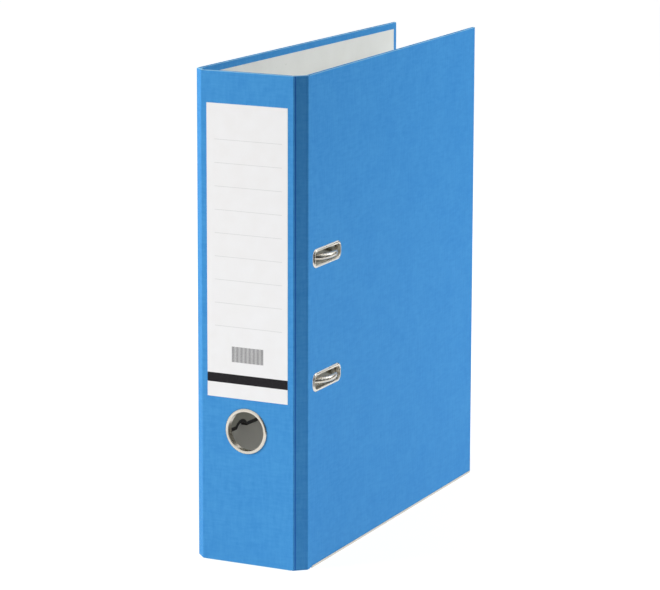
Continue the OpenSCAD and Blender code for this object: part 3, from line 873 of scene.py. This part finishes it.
white = (1.0, 1.0, 1.0)
studio = {
    "ambient": (0.9, 0.95, 1.0, 1.0),
    "ambientStrength": 0.06,
    "floorSize": 20.0,
    "floorDrop": 0.02 * mm,
    "floorGlow": (0.86, 0.98),  # as seen, near the object and far from it
    "tableGlow": 0.36,  # light that the white table gives back near the object
    "tableReach": (0.3, 0.75),
    "tableMiddle": (0.0, 0.12, 0.0),
    "floorShade": (0.3, 0.3, 0.3, 1.0),
    "lampTarget": (0.0, 0.12, 0.16),
    "mirrored": ("coverLamp",),  # lamps that show in the metal
    "lamps": {
        # name: azimuth, elevation, distance, size, power, colour
        "spineLamp": (-50, 24, 1.8, 1.0, 37.5, (1.0, 0.98, 0.95)),
        "coverLamp": (124, 30, 1.5, 0.7, 15.5, (0.94, 0.98, 1.0)),
        "lowLamp": (38, -14, 0.58, 0.3, 1.0, (0.9, 0.96, 1.0)),
        "farLamp": (125, -14, 0.5, 0.25, 0.45, white),
        "rearLamp": (205, 40, 1.8, 0.9, 2, white),
    },
    "cardColour": (0.01, 0.01, 0.01, 1.0),
    # dark cards that only mirrors see: low corner and high corner of each
    "cards": {
        "sideCard": ((0.34, -0.7, 0.0), (0.34, 0.34, 0.7)),
        "backCard": ((0.06, 0.62, 0.12), (0.7, 0.62, 0.34)),
    },
}


# One where a ray comes from the camera, from a mirror or through glass
def seenStraight(tree):
    path = tree.nodes.new("ShaderNodeLightPath")
    seen = addMath(tree, "MAXIMUM", path.outputs["Is Camera Ray"], path.outputs["Is Glossy Ray"])
    return addMath(tree, "MAXIMUM", seen, path.outputs["Is Transmission Ray"])


# White where it is seen straight, mirrored or through glass, and a soft ambient light for all else
def makeWorld(values):
    world = bpy.data.worlds.new("studioWorld")
    bpy.context.scene.world = world
    world.use_nodes = True
    tree = world.node_tree
    tree.nodes.clear()
    ambient = tree.nodes.new("ShaderNodeBackground")
    ambient.inputs["Color"].default_value = values["ambient"]
    ambient.inputs["Strength"].default_value = values["ambientStrength"]
    plain = tree.nodes.new("ShaderNodeBackground")
    plain.inputs["Color"].default_value = white + (1.0,)
    plain.inputs["Strength"].default_value = 1.0
    mix = tree.nodes.new("ShaderNodeMixShader")
    out = tree.nodes.new("ShaderNodeOutputWorld")
    tree.links.new(seenStraight(tree), mix.inputs["Fac"])
    tree.links.new(ambient.outputs[0], mix.inputs[1])
    tree.links.new(plain.outputs[0], mix.inputs[2])
    tree.links.new(mix.outputs[0], out.inputs["Surface"])


# A mesh that belongs to the studio, not to the object
def stageMesh(name, bm):
    mesh = bpy.data.meshes.new(name)
    bm.to_mesh(mesh)
    bm.free()
    obj = bpy.data.objects.new(name, mesh)
    bpy.context.scene.collection.objects.link(obj)
    obj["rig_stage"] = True
    return obj


# A pale floor that shows white but keeps the shadow under the object, and glows a little near it
def makeFloor(values):
    bm = bmesh.new()
    bmesh.ops.create_grid(bm, x_segments=2, y_segments=2, size=values["floorSize"] / 2)
    bmesh.ops.translate(bm, vec=(0, 0, cadBox[0].z - values["floorDrop"]), verts=bm.verts)
    obj = stageMesh("studioFloor", bm)
    material = bpy.data.materials.new("floorPaper")
    material.use_nodes = True
    obj.data.materials.append(material)
    tree = material.node_tree
    tree.nodes.clear()
    away = tree.nodes.new("ShaderNodeVectorMath")
    away.operation = "DISTANCE"
    away.inputs[1].default_value = values["tableMiddle"]
    place = tree.nodes.new("ShaderNodeTexCoord")
    tree.links.new(place.outputs["Object"], away.inputs[0])
    near, far = values["tableReach"]
    table = addRange(tree, away.outputs["Value"], near, far, values["tableGlow"], 0.0)
    glowNear, glowFar = values["floorGlow"]
    shown = addRange(tree, away.outputs["Value"], near, far, glowNear, glowFar)
    power = tree.nodes.new("ShaderNodeMix")
    tree.links.new(seenStraight(tree), power.inputs["Factor"])
    tree.links.new(table, power.inputs["A"])
    tree.links.new(shown, power.inputs["B"])
    paper = tree.nodes.new("ShaderNodeBsdfDiffuse")
    paper.inputs["Color"].default_value = values["floorShade"]
    glow = tree.nodes.new("ShaderNodeEmission")
    glow.inputs["Color"].default_value = white + (1.0,)
    add = tree.nodes.new("ShaderNodeAddShader")
    out = tree.nodes.new("ShaderNodeOutputMaterial")
    tree.links.new(power.outputs["Result"], glow.inputs["Strength"])
    tree.links.new(paper.outputs[0], add.inputs[0])
    tree.links.new(glow.outputs[0], add.inputs[1])
    tree.links.new(add.outputs[0], out.inputs["Surface"])


# A dark upright card that shows only in the metal, as a studio's black flag does
def makeCard(name, low, high, colour):
    low = Vector(low)
    high = Vector(high)
    size = high - low
    bm = bmesh.new()
    bmesh.ops.create_grid(bm, x_segments=1, y_segments=1, size=0.5)
    bmesh.ops.rotate(bm, verts=bm.verts, cent=(0, 0, 0), matrix=Matrix.Rotation(quarterTurn, 3, "X"))
    bmesh.ops.scale(bm, vec=(size.x or size.y, 1, size.z), verts=bm.verts)
    if not size.x:
        bmesh.ops.rotate(bm, verts=bm.verts, cent=(0, 0, 0), matrix=Matrix.Rotation(quarterTurn, 3, "Z"))
    bmesh.ops.translate(bm, vec=(low + high) / 2, verts=bm.verts)
    obj = stageMesh(name, bm)
    material = bpy.data.materials.new(name)
    material.use_nodes = True
    material.node_tree.nodes["Principled BSDF"].inputs["Base Color"].default_value = colour
    obj.data.materials.append(material)
    obj.visible_camera = False
    obj.visible_diffuse = False
    obj.visible_transmission = False
    obj.visible_shadow = False


# A round soft lamp in the direction given, seen from the object
def makeLamp(name, azimuth, elevation, distance, size, power, colour):
    turn = math.radians(azimuth)
    lift = math.radians(elevation)
    out = Vector((math.sin(turn) * math.cos(lift), -math.cos(turn) * math.cos(lift), math.sin(lift)))
    lamp = bpy.data.lights.new(name, "AREA")
    lamp.shape = "DISK"
    lamp.size = size
    lamp.energy = power
    lamp.color = colour
    obj = bpy.data.objects.new(name, lamp)
    obj.location = Vector(studio["lampTarget"]) + out * distance
    obj.rotation_euler = out.to_track_quat("Z", "Y").to_euler()
    obj.visible_camera = False
    obj.visible_glossy = name in studio["mirrored"]
    bpy.context.scene.collection.objects.link(obj)


makeWorld(studio)
makeFloor(studio)
for lampName, settings in studio["lamps"].items():
    makeLamp(lampName, *settings)
for cardName, corners in studio["cards"].items():
    makeCard(cardName, *corners, studio["cardColour"])
bpy.context.scene.view_settings.view_transform = "Standard"
print("studio lit")


# Finished vertices of pieces that show, modifiers and all
def finishedPoints(objs):
    depsgraph = bpy.context.evaluated_depsgraph_get()
    points = []
    for obj in objs:
        if obj.hide_render:
            continue
        done = obj.evaluated_get(depsgraph)
        points += [done.matrix_world @ v.co for v in done.data.vertices]
    return points


# Left, right, top and bottom of what shows
def reachOf(objs):
    shown = [shownAt(p) for p in finishedPoints(objs)]
    rights = [x for x, y in shown]
    downs = [y for x, y in shown]
    return min(rights), max(rights), min(downs), max(downs)


# The point that shows furthest in a direction of the image
def extremeOf(objs, right, down):
    shown = [shownAt(p) for p in finishedPoints(objs)]
    return max(shown, key=lambda p: right * p[0] + down * p[1])


def middleOf(objs):
    left, right, top, bottom = reachOf(objs)
    return (left + right) / 2, (top + bottom) / 2


# Where each thing shows in the image
def writePoints():
    shownPieces = [
        o for o in bpy.data.objects
        if o.type == "MESH" and not o.hide_render and not o.get("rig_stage")
    ]
    left, right, top, bottom = reachOf(shownPieces)
    places = {
        "objectLeft": (left, None),
        "objectRight": (right, None),
        "objectTop": (None, top),
        "objectBottom": (None, bottom),
        "spineTopLeft": extremeOf([spinePanel], -1, -1),
        "spineTopRight": extremeOf([spinePanel], 1, -1),
        "spineBottomLeft": extremeOf([spinePanel], -1, 1),
        "spineBottomRight": extremeOf([spinePanel], 1, 1),
        "coverFarTop": extremeOf([frontPanel], 1, -1),
        "coverFarBottom": extremeOf([frontPanel], 1, 1),
        "labelTopLeft": extremeOf([nodes["spine_label"]], -1, -1),
        "labelBottomRight": extremeOf([nodes["spine_label"]], 1, 1),
        "fingerRing": middleOf([nodes["finger_ring"]]),
        "upperSlot": middleOf([nodes["upper_slot_eyelet"]]),
        "lowerSlot": middleOf([nodes["lower_slot_eyelet"]]),
        "barMiddle": middleOf([labelBar]),
        "hatchMiddle": middleOf([labelHatch]),
    }
    for name, right, down in (
        ("firstRuleLeft", -1, -3), ("firstRuleRight", 1, -3), ("lastRuleLeft", -1, 1),
    ):
        x, y = extremeOf([labelRules], right, down)


writePoints()
